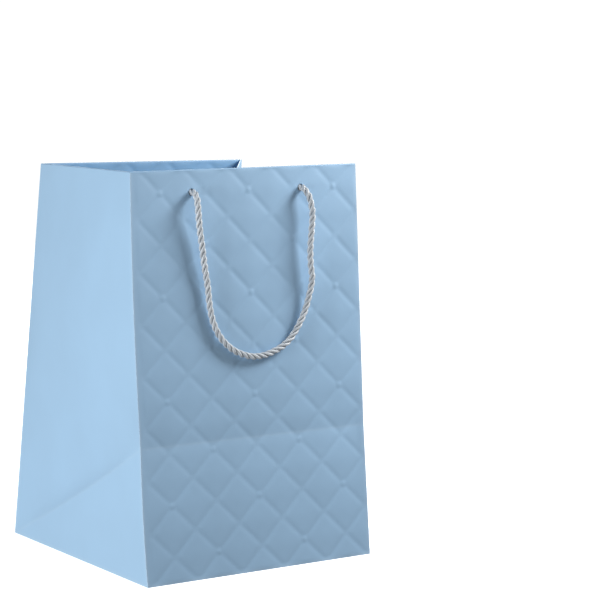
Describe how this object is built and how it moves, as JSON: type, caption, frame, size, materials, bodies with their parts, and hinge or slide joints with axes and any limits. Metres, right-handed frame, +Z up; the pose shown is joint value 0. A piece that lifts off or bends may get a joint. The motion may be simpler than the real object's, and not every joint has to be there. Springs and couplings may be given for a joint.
{
  "type": "gift bag",
  "caption": "Tall square-based paper gift bag with quilted embossed front and back, side gussets, an open mouth and twisted rope handles.",
  "frame": {"origin": "middle of the base, on the surface the bag stands on", "axes": "+X along the front from left to right as the front is looked at, +Y from the front to the back, +Z up; the front with the visible handle faces -Y"},
  "size_m": [0.21, 0.2117, 0.2985],
  "materials": {
    "embossed_paper": "matt laminated art paper, blind embossed with a quilted diamond pattern",
    "plain_paper": "matt laminated art paper, smooth",
    "inside_paper": "uncoated inner side of the same dyed paper",
    "grey_board": "uncoated grey board",
    "silver_rope": "three-strand twisted satin cord of silver-white yarn"
  },
  "bodies": {
    "bag": {"front_panel": "embossed_paper", "back_panel": "embossed_paper", "left_gusset": "plain_paper", "right_gusset": "plain_paper", "seam_flap": "inside_paper", "front_hem": "inside_paper", "back_hem": "inside_paper", "left_hem": "inside_paper", "right_hem": "inside_paper", "front_rim_card": "grey_board", "back_rim_card": "grey_board", "front_base_flap": "plain_paper", "back_base_flap": "plain_paper", "left_base_flap": "inside_paper", "right_base_flap": "inside_paper", "front_left_knot": "silver_rope", "front_right_knot": "silver_rope", "back_left_knot": "silver_rope", "back_right_knot": "silver_rope"},
    "front_handle": {"front_handle": "silver_rope"},
    "back_handle": {"back_handle": "silver_rope"},
    "base_card": {"base_card": "grey_board"}
  },
  "joints": [
    {"name": "front_handle_swing", "type": "hinge", "parent": "bag", "child": "front_handle", "pos_m": [0, -0.07814, 0.28063], "axis": [-1, 0, 0], "range_deg": [0, 175]},
    {"name": "back_handle_swing", "type": "hinge", "parent": "bag", "child": "back_handle", "pos_m": [0.016, 0.1065, 0.27125], "axis": [1, 0, 0], "range_deg": [0, 175]},
    {"name": "base_card_lift", "type": "hinge", "parent": "bag", "child": "base_card", "pos_m": [-0.095, 0, 0.0018], "axis": [0, -1, 0], "range_deg": [0, 8]}
  ]
}
